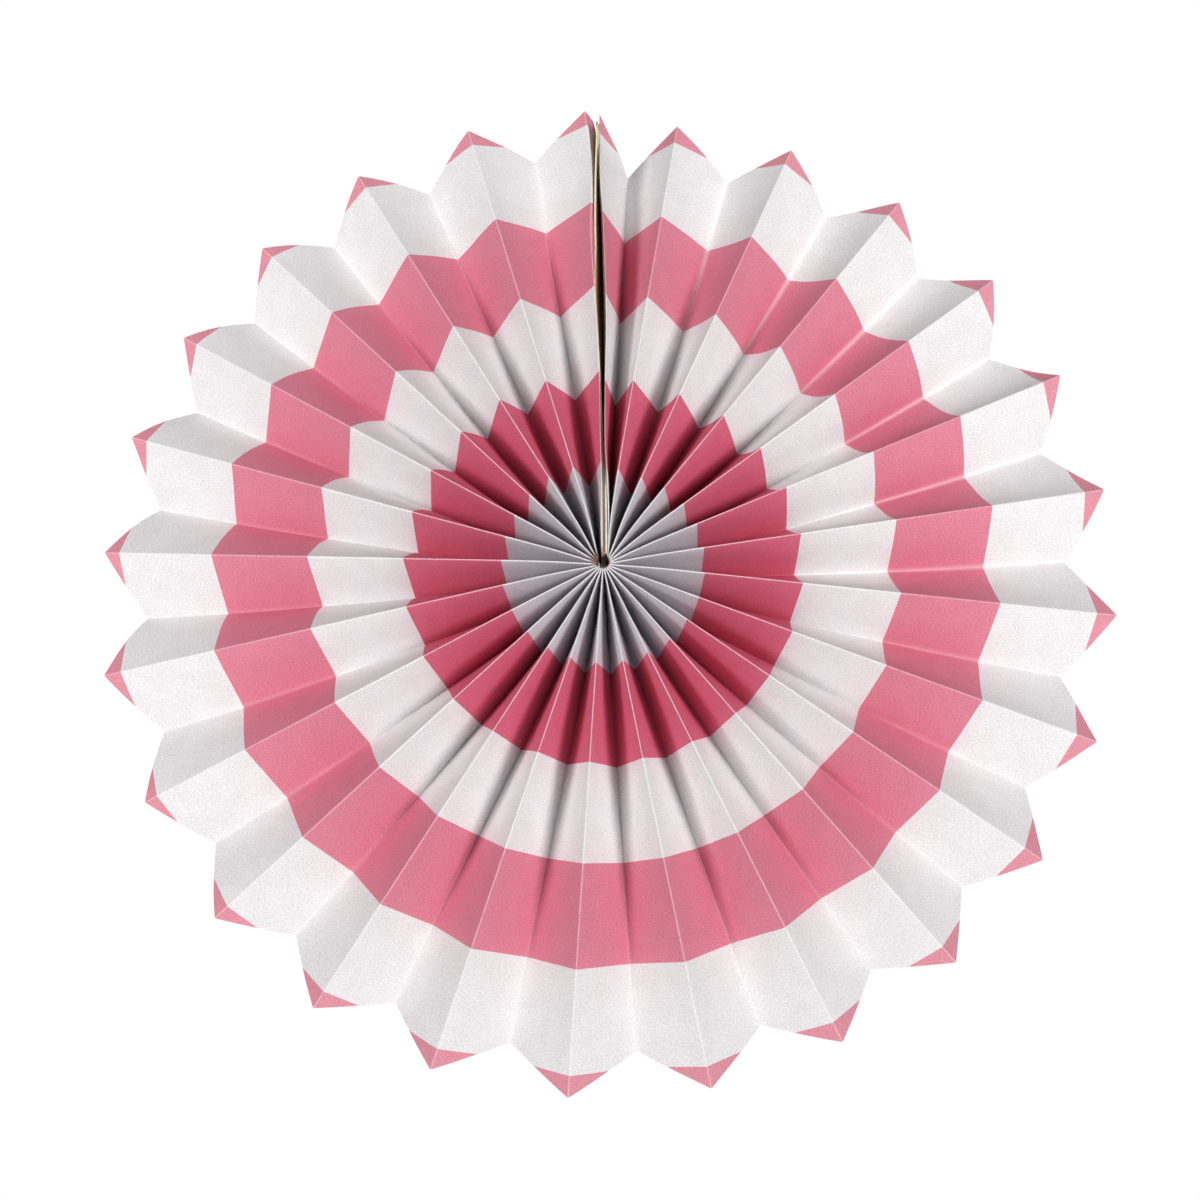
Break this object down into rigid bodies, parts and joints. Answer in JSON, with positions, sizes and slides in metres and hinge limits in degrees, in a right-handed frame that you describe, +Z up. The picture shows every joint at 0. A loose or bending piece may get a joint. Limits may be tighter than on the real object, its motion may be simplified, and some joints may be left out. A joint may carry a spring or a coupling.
{
  "type": "paper fan rosette",
  "caption": "Round hanging rosette: a pleated paper strip opened into a full disc with a zigzag edge, its stiff end boards meeting at a seam and a thread gathering the hub.",
  "frame": {"origin": "centre of the hub, halfway between the foremost tips and the back of the hub", "axes": "+X right as seen from the front, +Y from the front to the back, +Z up along the seam"},
  "size_m": [0.299, 0.0265, 0.2995],
  "materials": {
    "paper": "matte printed paper",
    "board": "matte greyboard",
    "tape": "matte adhesive foam",
    "thread": "twisted thread"
  },
  "bodies": {
    "root": {"pleated_sheet": "paper", "end_board_left": "board", "end_board_right": "board", "closing_tape": "tape", "binding_thread": "thread"}
  },
  "joints": []
}
